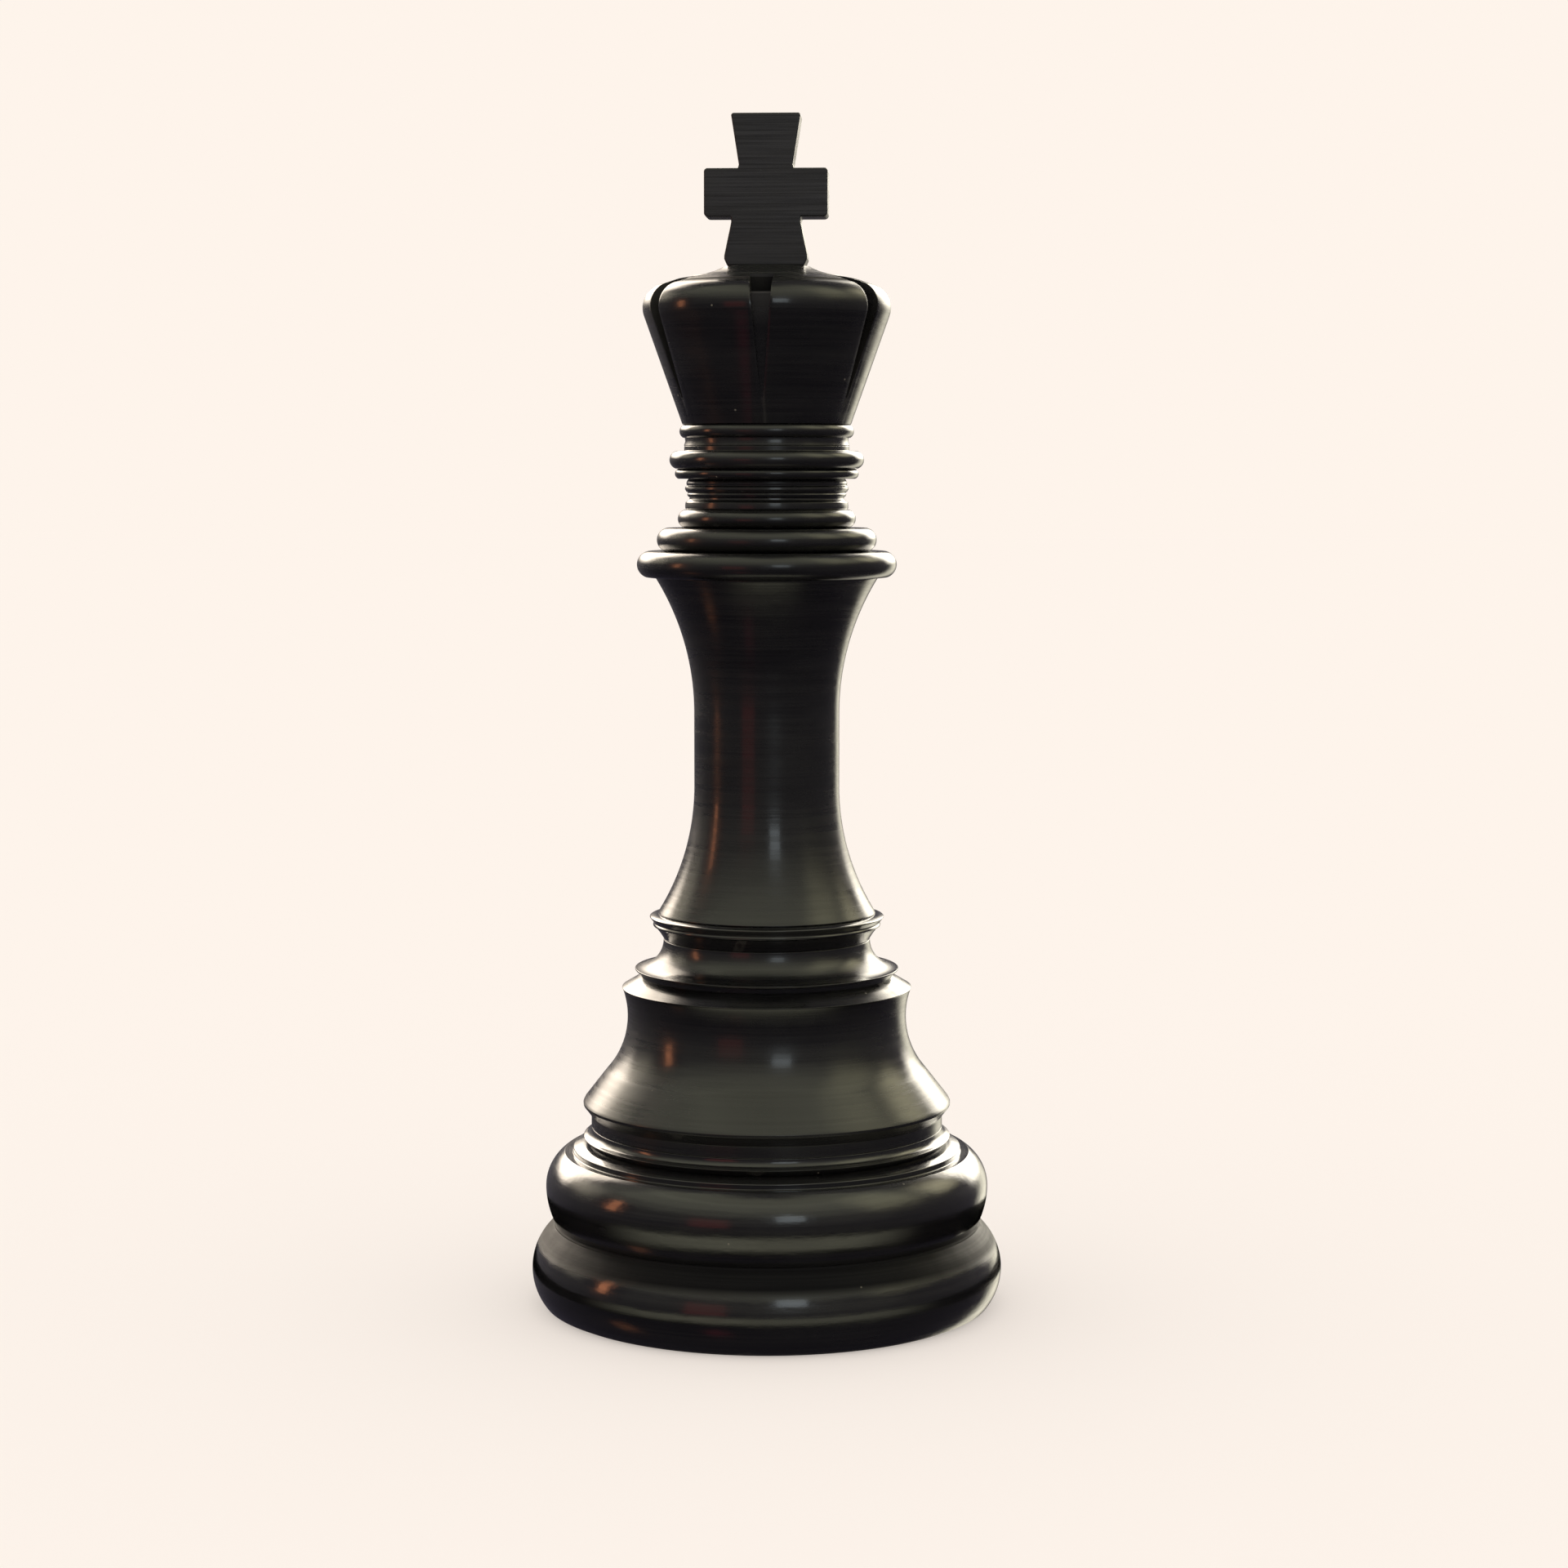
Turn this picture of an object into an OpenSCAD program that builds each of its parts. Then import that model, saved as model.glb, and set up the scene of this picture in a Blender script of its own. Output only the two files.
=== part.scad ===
// Giant lawn chess king: hollow turned sections stacked on sleeves and
// clamped by one steel tie rod over a weighted base. Millimetres, +Z up,
// origin on the floor under the middle of the base, cross facing -Y.

/* [Base] */
// widest diameter of the foot torus
base_d = 152.4; // [150:0.2:156]
// widest diameter of the upper torus
torus_d = 143.2; // [141:0.2:144]
// top of the foot section above the floor
plinth_h = 27; // [26:0.2:28]
// height of the upper torus section
torus_h = 26; // [25:0.2:27]
// knife edge diameter of the step disc
step_d = 118.8; // [117:0.2:120]
// height of the step disc
step_h = 5.2; // [5:0.1:5.6]
// gap that the rubber pad holds under the foot
pad_stand = 1; // [0.6:0.1:1.2]

/* [Bell] */
// lower rim diameter of the bell
bell_rim_d = 118.8; // [117:0.2:120]
// narrowest diameter of the bell
bell_waist_d = 90; // [88:0.5:92]
// top edge diameter of the bell
bell_top_d = 93.6; // [93:0.2:95]
// height of the bell section
bell_h = 48.8; // [48:0.2:50]
// edge diameter of the shoulder disc
shoulder_d = 85.2; // [84:0.2:86]
// height of the shoulder section
shoulder_h = 11.9; // [11.5:0.1:12.5]
// rim diameter of the waist collar
waist_d = 75.6; // [74:0.2:77]
// height of the waist collar
waist_h = 8.3; // [8:0.1:9]

/* [Stem] */
// narrowest diameter of the stem
stem_d = 46.6; // [45:0.2:48]
// height of the stem
stem_h = 108.2; // [104:0.2:112]
// radius of the sweep at the foot of the stem
foot_sweep = 77.5; // [76:0.5:80]
// radius of the sweep at the top of the stem
top_sweep = 82; // [80:0.5:84]

/* [Collars] */
// diameter of the largest collar
collar_large_d = 83; // [82:0.2:85]
// diameter of the middle collar
collar_medium_d = 70.2; // [69:0.2:72]
// diameter of the smallest collar
collar_small_d = 56.8; // [56:0.2:58]
// height of the beaded neck
neck_h = 9.8; // [9.6:0.1:10.2]
// diameter of the beads on the neck
neck_d = 52; // [51.4:0.2:53]
// diameter of the thin neck ring
thin_ring_d = 58.6; // [57:0.2:60]
// diameter of the wide neck ring
wide_ring_d = 62; // [60:0.2:63]
// diameter of the bead under the crown
bead_d = 55.6; // [55:0.2:57]

/* [Crown] */
// bottom diameter of the crown
crown_foot_d = 53.7; // [53:0.1:54.5]
// widest diameter of the crown
crown_d = 78.8; // [78:0.2:80]
// rounding of the crown's shoulder
crown_round = 7.6; // [7:0.1:8]
// height from the crown's foot to the cross
crown_h = 49.6; // [49:0.1:50.5]
// number of notches
notches = 6; // [5:1:8]
// width of a notch at the rim
notch_w = 7.6; // [6:0.1:8.5]

/* [Cross] */
// height of the cross above the crown
cross_h = 47.6; // [45:0.2:50]
// width across the arms
cross_w = 39; // [36:0.2:42]
// thickness of the cross
cross_t = 14; // [12.5:0.5:15]
// side of the square spigot
spigot_w = 10; // [9:0.2:10.4]

/* [Inside] */
// outer diameter of the sleeve through the waist
waist_sleeve_d = 48; // [47:0.5:49]
// outer diameter of the sleeve through the neck
neck_sleeve_d = 42; // [41:0.5:42.5]
// diameter of the tie rod
rod_d = 8; // [6:0.5:8]
// outer diameter of the ballast ring
ballast_d = 120; // [112:1:122]
// thickness of the ballast ring
ballast_h = 18; // [12:1:20]
// number of screws in the bottom cover
cover_screw_n = 6; // [4:1:8]
// thread diameter of the access plug
plug_d = 40; // [36:1:41]

/* [Hidden] */
$fn = 96;
// levels of the section joints, from the floor up
z_torus = plinth_h;
z_step = z_torus + torus_h;
z_bell = z_step + step_h;
z_shoulder = z_bell + bell_h;
z_waist = z_shoulder + shoulder_h;
z_stem = z_waist + waist_h;
z_large = z_stem + stem_h;
z_medium = z_large + 8.2;
z_small = z_medium + 7.4;
z_neck = z_small + 5.8;
z_thin = z_neck + neck_h;
z_wide = z_thin + 3.2;
z_bead = z_wide + 7.2;
z_crown = z_bead + 6.8;
z_cross = z_crown + crown_h;
z_ledge = z_cross - 8.4;
z_floor = z_crown + 12.2;
// fits
slip = 0.1;
bore_r = rod_d / 2 + 0.2;
waist_bore = waist_sleeve_d / 2 + slip;
neck_bore = neck_sleeve_d / 2 + slip;
register_r = 50;
cavity_r = 62;
cap_r = 24;
// bottom hardware levels
cover_z = 3;
gasket_z = cover_z + 4;
flange_z = gasket_z + 1;
ballast_z = flange_z + 7.5;
seat_z = 15;
plug_head_z = seat_z - 4;
plug_r = plug_d / 2;
screw_r = 55.5;
boss_z = z_step - 8;

// points along an arc about (cr, cz)
function arc(cr, cz, rad, a0, a1, n) =
    [for (i = [0:n]) let (a = a0 + (a1 - a0) * i / n) [cr + rad * cos(a), cz + rad * sin(a)]];

// rectangle in the turning plane
module band(r0, r1, z0, z1) {
    translate([r0, z0])
        square([r1 - r0, z1 - z0]);
}

// flat-topped ring with a round nose of radius rad
module nose_ring(r_in, r_out, z0, z1, zc, rad) {
    band(r_in, r_out - rad, z0, z1);
    intersection() {
        band(r_out - rad - 1, r_out + 1, z0, z1);
        translate([r_out - rad, zc])
            circle(rad);
    }
}

// copies around the vertical axis
module around(n, r, turn = 0) {
    for (i = [0:n - 1])
        rotate([0, 0, turn + i * 360 / n])
            translate([r, 0, 0])
                children();
}

module foot_pad() {
    color([0.08, 0.08, 0.08])
        rotate_extrude()
            band(62, 70, 0, pad_stand + 1.2);
}

module base_cover() {
    color([0.10, 0.10, 0.11])
        difference() {
            rotate_extrude()
                difference() {
                    union() {
                        band(plug_r + 4.6, 60, cover_z, gasket_z);
                        band(plug_r + 4.6, plug_r + 7.6, cover_z, seat_z + 4);
                        band(plug_r + 0.08, plug_r + 7.6, seat_z, seat_z + 4);
                        band(plug_r + 0.08, plug_r + 4, seat_z + 3.5, seat_z + 10);
                    }
                    band(36, 48, cover_z - 1, cover_z + 1);
                }
            around(cover_screw_n, screw_r)
                translate([0, 0, cover_z - 1])
                    cylinder(h = 6, r = 2.2);
            around(cover_screw_n, screw_r)
                translate([0, 0, cover_z - 1])
                    cylinder(h = 3.2, r = 3.8);
        }
}

module cover_gasket() {
    color([0.05, 0.05, 0.05])
        difference() {
            rotate_extrude()
                band(51, 59.8, gasket_z, flange_z);
            around(cover_screw_n, screw_r)
                translate([0, 0, gasket_z - 1])
                    cylinder(h = 3, r = 2.3);
        }
}

module cover_screws() {
    color([0.70, 0.71, 0.72])
        around(cover_screw_n, screw_r)
            difference() {
                union() {
                    translate([0, 0, cover_z])
                        cylinder(h = 2.2, r1 = 3.0, r2 = 3.5);
                    translate([0, 0, cover_z + 2])
                        cylinder(h = 7.9, r = 2);
                    translate([0, 0, cover_z + 9.9])
                        cylinder(h = 1.3, r1 = 2, r2 = 0.8);
                }
                translate([-2, -0.4, cover_z - 1])
                    cube([4, 0.8, 2.2]);
                translate([-0.4, -2, cover_z - 1])
                    cube([0.8, 4, 2.2]);
            }
}

module base_plug() {
    color([0.12, 0.12, 0.13])
        difference() {
            union() {
                rotate_extrude()
                    polygon([[0, plug_head_z], [plug_r + 3, plug_head_z], [plug_r + 4, plug_head_z + 1],
                        [plug_r + 4, seat_z - 1], [plug_r, seat_z - 1], [plug_r, seat_z + 8],
                        [plug_r - 1, seat_z + 9], [plug_r - 4, seat_z + 9], [plug_r - 4, seat_z + 2],
                        [0, seat_z + 2]]);
            }
            translate([0, 0, plug_head_z - 1])
                cylinder(h = 3.2, r = plug_r - 3);
            around(12, plug_r + 5, 15)
                translate([0, 0, plug_head_z - 1])
                    cylinder(h = 6, r = 1.8);
        }
    color([0.12, 0.12, 0.13])
        translate([-plug_r + 2, -2, plug_head_z])
            cube([2 * plug_r - 4, 4, 3.5]);
}

module plug_seal() {
    color([0.06, 0.06, 0.06])
        rotate_extrude()
            band(plug_r + 0.08, plug_r + 3.4, seat_z - 0.97, seat_z - 0.02);
}

module ballast_ring() {
    color([0.25, 0.25, 0.26])
        difference() {
            rotate_extrude()
                difference() {
                    band(plug_r + 9, ballast_d / 2, ballast_z, ballast_z + ballast_h);
                    polygon([[ballast_d / 2 + 1, ballast_z + ballast_h - 3],
                        [ballast_d / 2 + 1, ballast_z + ballast_h + 1],
                        [ballast_d / 2 - 3, ballast_z + ballast_h + 1]]);
                }
            around(2, 46)
                translate([0, 0, ballast_z + ballast_h - 8])
                    cylinder(h = 10, r = 3.4);
        }
}

module base_plinth() {
    color([0.04, 0.04, 0.045])
        difference() {
            rotate_extrude()
                difference() {
                    union() {
                        intersection() {
                            band(50, base_d / 2 + 1, pad_stand, z_torus - 0.8);
                            translate([base_d / 2 - 17.6, 12])
                                circle(17.6);
                        }
                        band(50, 69, z_torus - 2, z_torus);
                    }
                    band(49, 60.3, pad_stand - 1, flange_z);
                    band(49, cavity_r, ballast_z, z_torus + 1);
                    band(61.8, 70.2, pad_stand - 1, pad_stand + 1.2);
                    band(cavity_r - 1, 65.1, z_torus - 3, z_torus + 1);
                }
            around(cover_screw_n, screw_r)
                translate([0, 0, flange_z - 1])
                    cylinder(h = 7.8, r = 2.04);
        }
}

module base_torus() {
    color([0.04, 0.04, 0.045])
        rotate_extrude()
            difference() {
                union() {
                    intersection() {
                        band(50, torus_d / 2 + 1, z_torus, z_torus + 11.8);
                        translate([torus_d / 2 - 25, z_torus + 11.8])
                            circle(25);
                    }
                    intersection() {
                        band(bore_r, torus_d / 2 + 1, z_torus + 11.8, z_step - 2.8);
                        union() {
                            translate([torus_d / 2 - 13, z_torus + 11.8])
                                circle(13);
                            band(bore_r, torus_d / 2 - 9, z_torus + 11, z_step);
                        }
                    }
                    polygon([[bore_r, z_step - 3.2], [62.7, z_step - 3.2], [62.7, z_step - 1.4],
                        [62.3, z_step - 1.1], [60.2, z_step - 0.6], [58.4, z_step], [bore_r, z_step]]);
                    band(cavity_r, 65, z_torus - 2.8, z_torus + 1);
                    band(46, register_r, z_step - 1, z_step + 7);
                }
                polygon([[14, z_torus - 4], [cavity_r, z_torus - 4], [cavity_r, z_step - 8],
                    [58, z_step - 4], [14, z_step - 4]]);
                band(bore_r - 1, 15, z_torus - 4, boss_z);
            }
}

module step_disc() {
    color([0.04, 0.04, 0.045])
        rotate_extrude()
            polygon(concat([[register_r + slip, z_step], [57.6, z_step], [step_d / 2 - 0.3, z_step + 1.7],
                [step_d / 2, z_step + 2]],
                arc(step_d / 2, z_step + 4.8, 2.6, 270, 180, 8),
                [[56.8, z_bell], [register_r + slip, z_bell]]));
}

module bell_body() {
    waist = bell_waist_d / 2;
    rim = bell_rim_d / 2;
    color([0.04, 0.04, 0.045])
        rotate_extrude()
            difference() {
                polygon(concat([[waist_bore, z_bell], [56.8, z_bell], [56.8, z_bell + 3.8],
                    [rim - 0.8, z_bell + 6.2], [rim - 0.1, z_bell + 7], [rim, z_bell + 7.8],
                    [rim - 0.5, z_bell + 8.8]],
                    arc(waist + 27, z_bell + 35.8, 27, 222, 160.5, 20),
                    [[bell_top_d / 2, z_shoulder - 3.7], [40.5, z_shoulder], [waist_bore, z_shoulder]]));
                band(waist_bore - 1, register_r + slip, z_bell - 1, z_bell + 2.2);
                polygon([[waist_bore - 1, z_bell + 2], [register_r, z_bell + 2], [51.5, z_bell + 6],
                    [46, z_bell + 17], [41, z_bell + 25], [39, z_bell + 34], [39, z_shoulder - 10],
                    [37, z_shoulder - 8], [waist_bore - 1, z_shoulder - 8]]);
            }
}

module shoulder_disc() {
    edge = shoulder_d / 2;
    color([0.04, 0.04, 0.045])
        rotate_extrude()
            polygon(concat([[waist_bore, z_shoulder], [40.5, z_shoulder], [40.7, z_shoulder + 1.6],
                [edge - 0.2, z_shoulder + 2]],
                arc(edge, z_waist, 9.3, 270, 180, 18),
                [[waist_bore, z_waist]]));
}

module waist_collar() {
    rim = waist_d / 2;
    color([0.04, 0.04, 0.045])
        rotate_extrude()
            polygon([[waist_bore, z_waist], [rim - 4.8, z_waist], [rim - 3.4, z_waist + 2.2],
                [rim - 2, z_waist + 4], [rim - 1.2, z_waist + 4.4], [rim - 1.1, z_waist + 4.8],
                [rim - 1.3, z_waist + 5.2], [rim - 1.5, z_waist + 5.4], [rim - 0.3, z_waist + 6.9],
                [rim, z_waist + 7.3], [rim - 0.3, z_waist + 7.6], [rim - 2.3, z_stem], [waist_bore, z_stem]]);
}

module waist_sleeve() {
    color([0.72, 0.73, 0.74])
        rotate_extrude()
            difference() {
                band(waist_sleeve_d / 2 - 3, waist_sleeve_d / 2, z_shoulder - 8, z_stem + 9.8);
                polygon([[waist_sleeve_d / 2 - 0.8, z_stem + 10], [waist_sleeve_d / 2 + 1, z_stem + 10],
                    [waist_sleeve_d / 2 + 1, z_stem + 8.4]]);
            }
}

module stem() {
    r0 = stem_d / 2;
    z_low = z_stem + 41.3;
    z_high = z_large - 43.4;
    color([0.04, 0.04, 0.045])
        rotate_extrude()
            difference() {
                union() {
                    difference() {
                        band(17.5, 60, z_stem, z_low);
                        translate([r0 + foot_sweep, z_low])
                            circle(foot_sweep);
                    }
                    band(17.5, r0, z_low, z_high);
                    difference() {
                        band(17.5, 60, z_high, z_large);
                        translate([r0 + top_sweep, z_high])
                            circle(top_sweep);
                    }
                }
                band(17, waist_bore, z_stem - 1, z_stem + 10);
                band(17, neck_bore, z_large - 9.4, z_large + 1);
            }
}

module collar_large() {
    color([0.04, 0.04, 0.045])
        rotate_extrude()
            nose_ring(neck_bore, collar_large_d / 2, z_large, z_medium, z_large + 4, 4.3);
}

module collar_medium() {
    color([0.04, 0.04, 0.045])
        rotate_extrude()
            nose_ring(neck_bore, collar_medium_d / 2, z_medium, z_small, z_medium + 3.6, 3.9);
}

module collar_small() {
    color([0.04, 0.04, 0.045])
        rotate_extrude()
            nose_ring(neck_bore, collar_small_d / 2, z_small, z_neck, z_small + 2.9, 3.05);
}

module neck_spool() {
    r = neck_d / 2;
    color([0.04, 0.04, 0.045])
        rotate_extrude()
            polygon([[neck_bore, z_neck], [r - 0.3, z_neck], [r, z_neck + 0.5], [r + 0.05, z_neck + 1.4],
                [r - 0.1, z_neck + 2.4], [r - 0.7, z_neck + 2.8], [r - 1.3, z_neck + 3.3],
                [r - 1.4, z_neck + 3.9], [r - 0.8, z_neck + 4.3], [r - 0.6, z_neck + 4.9],
                [r - 0.9, z_neck + 5.4], [r - 0.3, z_neck + 5.8], [r + 0.1, z_neck + 6.5],
                [r, z_neck + 7.2], [r - 0.5, z_neck + 7.7], [r - 0.35, z_neck + 8.4],
                [r - 0.5, z_neck + 9], [r - 1, z_thin], [neck_bore, z_thin]]);
}

module neck_ring_thin() {
    color([0.04, 0.04, 0.045])
        rotate_extrude()
            nose_ring(neck_bore, thin_ring_d / 2, z_thin, z_wide, z_thin + 1.6, 1.7);
}

module neck_ring_wide() {
    color([0.04, 0.04, 0.045])
        rotate_extrude() {
            nose_ring(neck_bore, wide_ring_d / 2, z_wide, z_wide + 5.6, z_wide + 2.8, 2.95);
            band(neck_bore, 26.3, z_wide + 5, z_bead);
        }
}

module crown_bead() {
    color([0.04, 0.04, 0.045])
        rotate_extrude() {
            nose_ring(neck_bore, bead_d / 2, z_bead + 2.6, z_crown, z_bead + 4.6, 2.3);
            polygon([[neck_bore, z_bead], [26.4, z_bead], [26, z_bead + 1.4], [26.1, z_bead + 3],
                [neck_bore, z_bead + 3]]);
        }
}

module neck_sleeve() {
    color([0.72, 0.73, 0.74])
        rotate_extrude()
            band(neck_sleeve_d / 2 - 3, neck_sleeve_d / 2, z_large - 9.2, z_crown + 7.2);
}

// wedge that one notch takes out of the crown, pointing to -Y
module notch() {
    intersection() {
        rotate([90, 0, 0])
            linear_extrude(height = 60)
                polygon([[-0.45, z_crown + 8.2], [0.45, z_crown + 8.2], [notch_w / 2, z_cross - 3],
                    [notch_w / 2, z_cross + 4], [-notch_w / 2, z_cross + 4], [-notch_w / 2, z_cross - 3]]);
        rotate([90, 0, -90])
            translate([0, 0, -10])
                linear_extrude(height = 20)
                    polygon([[29.4, z_crown + 7.4], [34.2, z_cross - 9.4], [26.2, z_cross - 9.4],
                        [26.2, z_cross + 4], [60, z_cross + 4], [60, z_crown + 7.4]]);
    }
}

module crown() {
    shoulder_r = crown_d / 2 - crown_round;
    shoulder_z = z_cross - 12.9;
    color([0.04, 0.04, 0.045])
        difference() {
            rotate_extrude()
                difference() {
                    polygon(concat([[bore_r, z_crown], [crown_foot_d / 2, z_crown]],
                        arc(shoulder_r, shoulder_z, crown_round, -19, 78, 14),
                        [[29, z_cross - 4], [cap_r + slip, z_cross - 3.1], [cap_r + slip, z_ledge],
                        [20, z_ledge], [20, z_floor], [bore_r, z_floor]]));
                    band(bore_r - 1, neck_bore, z_crown - 1, z_crown + 7.4);
                }
            for (i = [0:notches - 1])
                rotate([0, 0, i * 360 / notches])
                    notch();
        }
}

module crown_cap() {
    socket = spigot_w + 0.6;
    color([0.04, 0.04, 0.045])
        difference() {
            rotate_extrude()
                polygon([[0, z_ledge - 15.5], [11, z_ledge - 15.5], [12, z_ledge - 14.5], [12, z_ledge],
                    [cap_r, z_ledge], [cap_r, z_cross - 3], [20, z_cross - 2.3], [16.6, z_cross - 1.3],
                    [14.4, z_cross - 0.3], [13.9, z_cross], [0, z_cross]]);
            translate([-socket / 2, -socket / 2, z_cross - 21.8])
                cube([socket, socket, 30]);
        }
}

module cross_finial() {
    foot = 12.1;
    low = 13.1;
    bar_z = z_cross + 15.3;
    bar_h = 15.2;
    top = z_cross + cross_h;
    color([0.04, 0.04, 0.045]) {
        translate([0, cross_t / 2, 0])
            rotate([90, 0, 0])
                linear_extrude(height = cross_t)
                    polygon([[-foot, z_cross], [foot, z_cross], [low, z_cross + 2.2], [low, z_cross + 3.4],
                        [10.9, bar_z - 1.6], [11, bar_z], [cross_w / 2, bar_z], [cross_w / 2, bar_z + bar_h],
                        [8.8, bar_z + bar_h], [8.5, bar_z + bar_h + 1.2], [11, top], [-11, top],
                        [-8.5, bar_z + bar_h + 1.2], [-8.8, bar_z + bar_h], [-cross_w / 2, bar_z + bar_h],
                        [-cross_w / 2, bar_z], [-11, bar_z], [-10.9, bar_z - 1.6], [-low, z_cross + 3.4],
                        [-low, z_cross + 2.2]]);
        translate([-spigot_w / 2, -spigot_w / 2, z_cross - 21])
            cube([spigot_w, spigot_w, 24]);
    }
}

module tie_rod() {
    color([0.70, 0.71, 0.72]) {
        translate([0, 0, boss_z - 12.5])
            cylinder(h = z_floor + 10 - boss_z + 12.5, r = rod_d / 2);
        translate([0, 0, boss_z - 14])
            cylinder(h = 1.5, r1 = rod_d / 2 - 1.2, r2 = rod_d / 2);
        translate([0, 0, z_floor + 10])
            cylinder(h = 1.5, r1 = rod_d / 2, r2 = rod_d / 2 - 1.2);
    }
}

// plain washer with its bottom at z
module washer(z, r, h) {
    translate([0, 0, z])
        difference() {
            cylinder(h = h, r = r);
            translate([0, 0, -1])
                cylinder(h = h + 2, r = bore_r);
        }
}

// hexagon nut with both faces chamfered
module nut(z) {
    translate([0, 0, z])
        difference() {
            intersection() {
                cylinder(h = 6.5, r = 7.5, $fn = 6);
                cylinder(h = 8, r1 = 6.4, r2 = 14.4);
                translate([0, 0, -1.5])
                    cylinder(h = 8, r1 = 14.4, r2 = 6.4);
            }
            translate([0, 0, -1])
                cylinder(h = 9, r = rod_d / 2 + 0.04);
        }
}

module bottom_washer() {
    color([0.74, 0.75, 0.76])
        washer(boss_z - 1.6, 12, 1.6);
}

module spring_washer() {
    color([0.66, 0.67, 0.68])
        difference() {
            washer(boss_z - 3.6, 7, 2);
            translate([3, -0.6, boss_z - 5])
                rotate([30, 0, 0])
                    cube([6, 1, 6]);
        }
}

module bottom_nut() {
    color([0.70, 0.71, 0.72])
        nut(boss_z - 10.1);
}

module top_washer() {
    color([0.74, 0.75, 0.76])
        washer(z_floor, 12, 1.6);
}

module top_nut() {
    color([0.70, 0.71, 0.72])
        nut(z_floor + 1.6);
}

foot_pad();
base_cover();
cover_gasket();
cover_screws();
base_plug();
plug_seal();
ballast_ring();
base_plinth();
base_torus();
step_disc();
bell_body();
shoulder_disc();
waist_collar();
waist_sleeve();
stem();
collar_large();
collar_medium();
collar_small();
neck_spool();
neck_ring_thin();
neck_ring_wide();
crown_bead();
neck_sleeve();
crown();
crown_cap();
cross_finial();
tie_rod();
bottom_washer();
spring_washer();
bottom_nut();
top_washer();
top_nut();
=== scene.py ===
"""Looks of the giant lawn chess king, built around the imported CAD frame.

The scene is in metres, +Z up, with the flat of the cross facing -Y. Outlines are written in
millimetres, as (radius, z) pairs, and MM scales them.
"""

import math

import bpy
import numpy as np
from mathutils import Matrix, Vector


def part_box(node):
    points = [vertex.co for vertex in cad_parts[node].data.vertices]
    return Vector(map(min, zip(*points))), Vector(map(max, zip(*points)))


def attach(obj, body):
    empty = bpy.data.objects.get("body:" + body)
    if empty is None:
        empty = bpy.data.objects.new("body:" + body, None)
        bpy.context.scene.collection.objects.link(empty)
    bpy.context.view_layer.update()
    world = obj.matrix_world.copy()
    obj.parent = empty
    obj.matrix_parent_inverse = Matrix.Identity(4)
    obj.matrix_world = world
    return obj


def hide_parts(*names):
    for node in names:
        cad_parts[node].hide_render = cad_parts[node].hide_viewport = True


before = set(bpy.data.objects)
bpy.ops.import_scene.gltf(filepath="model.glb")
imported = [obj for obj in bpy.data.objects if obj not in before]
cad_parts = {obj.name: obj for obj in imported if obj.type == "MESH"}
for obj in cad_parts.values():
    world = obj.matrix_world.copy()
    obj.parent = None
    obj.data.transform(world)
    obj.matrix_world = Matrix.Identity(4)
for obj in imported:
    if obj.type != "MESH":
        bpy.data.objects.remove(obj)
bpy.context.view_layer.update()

MM = 0.001
TAU = 2 * math.pi
SEGMENTS = 192  # sides of a turned piece
EDGE = 0.3  # usual edge rounding, mm
SAME = 1e-4  # points closer than this, in mm, count as one
SPREAD = (0.3, 0.7)  # most of a noise texture's values lie between these

# ---------------------------------------------------------------- outlines


def level(node):
    """Lowest and highest z of a CAD node at rest, in mm."""
    low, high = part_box(node)
    return low.z / MM, high.z / MM


def arc(cx, cz, rad, start, end, count):
    """Points along an arc, angles in degrees."""
    angles = [math.radians(start + (end - start) * i / count) for i in range(count + 1)]
    return [(cx + rad * math.cos(a), cz + rad * math.sin(a)) for a in angles]


def rounded(points, radius=EDGE, sharp=24.0, steps=4):
    """A closed outline with each corner that turns by more than `sharp` degrees made a small arc.

    A point may carry its own radius as a third number.
    """
    points = [p for i, p in enumerate(points) if math.dist(p[:2], points[i - 1][:2]) > SAME]
    most = 0.45  # share of a side that the arc at one of its ends may take
    out = []
    count = len(points)
    for i, point in enumerate(points):
        rad = point[2] if len(point) > 2 else radius
        p = Vector(point[:2])
        back = Vector(points[i - 1][:2]) - p
        ahead = Vector(points[(i + 1) % count][:2]) - p
        inside = back.angle(ahead)
        turn = math.pi - inside
        if math.degrees(turn) < sharp or rad <= 0:
            out.append(tuple(p))
            continue
        reach = min(rad / math.tan(inside / 2), most * back.length, most * ahead.length)
        rad = reach * math.tan(inside / 2)
        first, last = p + back.normalized() * reach, p + ahead.normalized() * reach
        middle = p + (back.normalized() + ahead.normalized()).normalized() * (rad / math.sin(inside / 2))
        spoke, final = first - middle, last - middle
        sweep = math.atan2(spoke.x * final.y - spoke.y * final.x, spoke.dot(final))
        for k in range(steps + 1):
            a = sweep * k / steps
            out.append((middle.x + spoke.x * math.cos(a) - spoke.y * math.sin(a),
                        middle.y + spoke.x * math.sin(a) + spoke.y * math.cos(a)))
    return out


def outline_normals(points):
    """Outward unit normals of a closed counter-clockwise outline, weighted by the length of each side."""
    p = np.array(points, float)
    side = np.roll(p, -1, axis=0) - p
    out = np.stack([side[:, 1], -side[:, 0]], axis=1)
    both = out + np.roll(out, 1, axis=0)
    return both / np.maximum(np.linalg.norm(both, axis=1, keepdims=True), 1e-12)


def counter_clockwise(points):
    """The same outline, running counter-clockwise."""
    p = np.array(points, float)
    x, y = p[:, 0], p[:, 1]
    area = np.dot(x, np.roll(y, -1)) - np.dot(y, np.roll(x, -1))
    return list(points) if area > 0 else list(points)[::-1]


# ---------------------------------------------------------------- meshes


def link(name, mesh):
    """A new object in the scene."""
    piece = bpy.data.objects.new(name, mesh)
    bpy.context.scene.collection.objects.link(piece)
    return piece


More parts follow.
